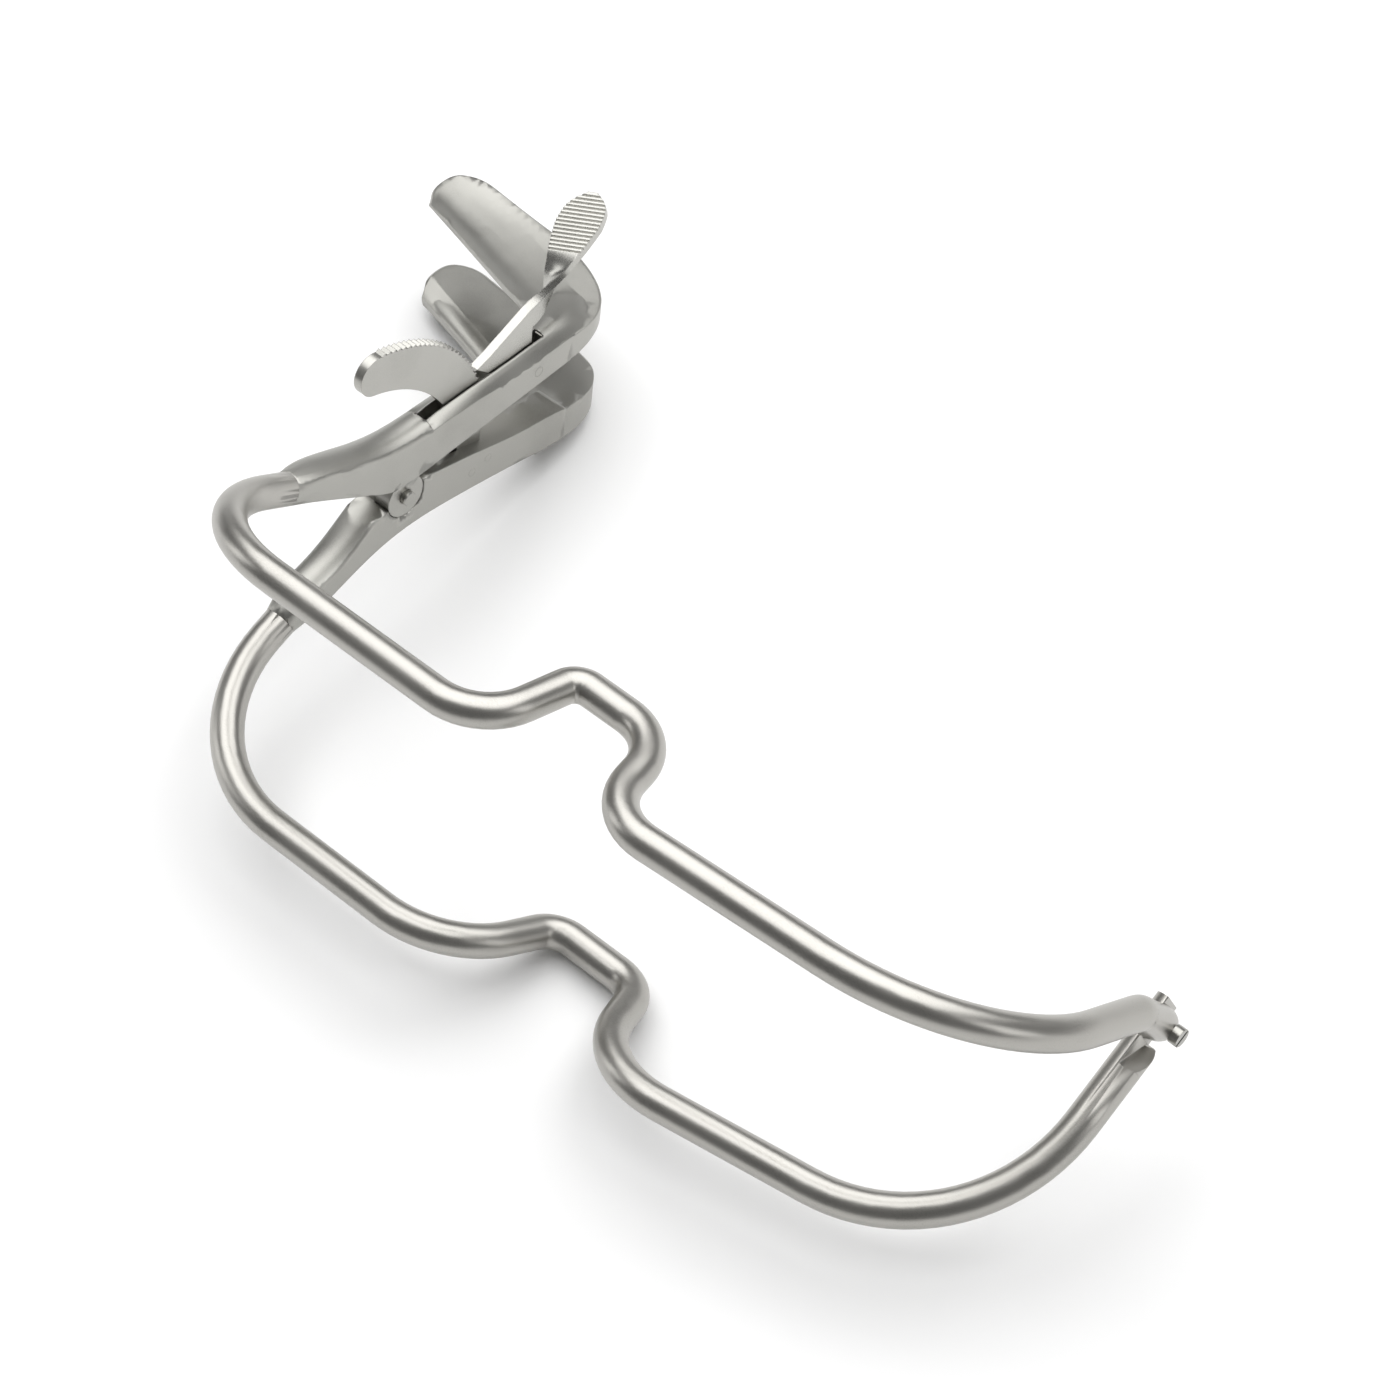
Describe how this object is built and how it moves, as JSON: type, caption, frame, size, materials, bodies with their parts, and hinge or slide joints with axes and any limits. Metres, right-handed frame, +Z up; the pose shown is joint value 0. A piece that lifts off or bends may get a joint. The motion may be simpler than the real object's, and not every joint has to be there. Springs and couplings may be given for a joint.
{
  "type": "mouth gag",
  "caption": "Ratchet side mouth gag: two bent rod bows hinged on one axis, forged jaws, toothed rack and a sprung thumb catch.",
  "frame": {"origin": "on the table, under the middle of the whole object's box", "axes": "+X along the hinge axis from the jaws to the far hinge, +Y towards the blades, +Z up as the instrument lies on a table"},
  "size_m": [0.1844, 0.1042, 0.0578],
  "materials": {
    "forged_steel": "satin, fine blasted",
    "rod_steel": "satin, brushed along the rod",
    "rack_steel": "satin",
    "catch_steel": "satin with bright edges",
    "pin_steel": "turned",
    "spring_steel": "rolled strip"
  },
  "bodies": {
    "lower_half": {"lower_jaw": "forged_steel", "lower_bow": "rod_steel", "ratchet_rack": "rack_steel", "rack_rivet_rear": "pin_steel", "rack_rivet_front": "pin_steel", "jaw_hinge_pin": "pin_steel", "far_hinge_screw": "pin_steel"},
    "upper_half": {"upper_jaw": "forged_steel", "upper_bow": "rod_steel", "catch_pin": "pin_steel", "catch_spring": "spring_steel"},
    "catch": {"thumb_catch": "catch_steel"}
  },
  "joints": [
    {"name": "jaw_hinge", "type": "hinge", "parent": "lower_half", "child": "upper_half", "pos_m": [-0.05269, -0.00026, 0.02165], "axis": [1, 0, 0], "range_deg": [-14.5, 40]},
    {"name": "catch_swing", "type": "hinge", "parent": "upper_half", "child": "catch", "pos_m": [-0.05549, 0.0282, 0.02239], "axis": [1, 0, 0], "range_deg": [-26, 9], "deforming": ["catch_spring"]}
  ],
  "couplings": [
    {"joint": "catch_swing", "follows": "jaw_hinge", "ratio": -0.6}
  ]
}
